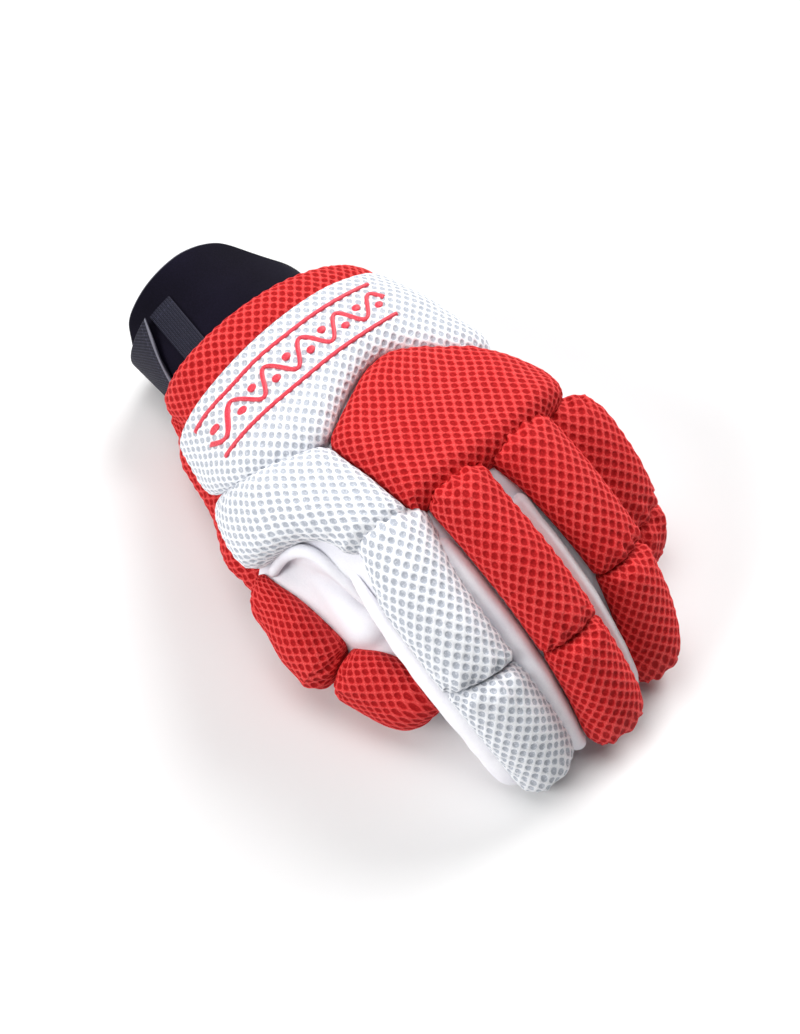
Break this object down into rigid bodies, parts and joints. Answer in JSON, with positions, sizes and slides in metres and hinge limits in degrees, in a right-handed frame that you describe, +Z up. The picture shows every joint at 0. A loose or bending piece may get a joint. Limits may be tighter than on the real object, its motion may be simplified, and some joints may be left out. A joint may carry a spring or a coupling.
{
  "type": "roller hockey glove",
  "caption": "Padded left-hand hockey glove, resting palm down with curled fingers: mesh-covered foam pads on a thin inner glove, and an open wrist cuff with a strap.",
  "frame": {"origin": "middle of the glove's footprint, on the surface that it rests on", "axes": "+X from the wrist to the fingertips, +Y towards the little finger, +Z up from the palm to the back of the hand"},
  "size_m": [0.2386, 0.1397, 0.0856],
  "materials": {
    "red_mesh": "open knitted spacer mesh over foam",
    "white_mesh": "open knitted spacer mesh over foam",
    "lining": "smooth stretch fabric",
    "cuff": "matte fabric-faced foam",
    "webbing": "woven hook-and-loop webbing and ribbed elastic"
  },
  "bodies": {
    "root": {"inner_glove": "lining", "wrist_roll": "red_mesh", "wrist_pad": "white_mesh", "thumb_side_pad": "white_mesh", "knuckle_pad": "red_mesh", "side_strip": "red_mesh", "thumb_web_hem": "lining", "index_proximal_pad": "white_mesh", "index_distal_pad": "white_mesh", "middle_proximal_pad": "red_mesh", "middle_distal_pad": "red_mesh", "ring_proximal_pad": "red_mesh", "ring_distal_pad": "red_mesh", "little_proximal_pad": "red_mesh", "little_distal_pad": "red_mesh", "thumb_proximal_pad": "red_mesh", "thumb_distal_pad": "red_mesh", "wrist_cuff": "cuff", "wrist_strap": "webbing", "elastic_band": "webbing"}
  },
  "joints": []
}
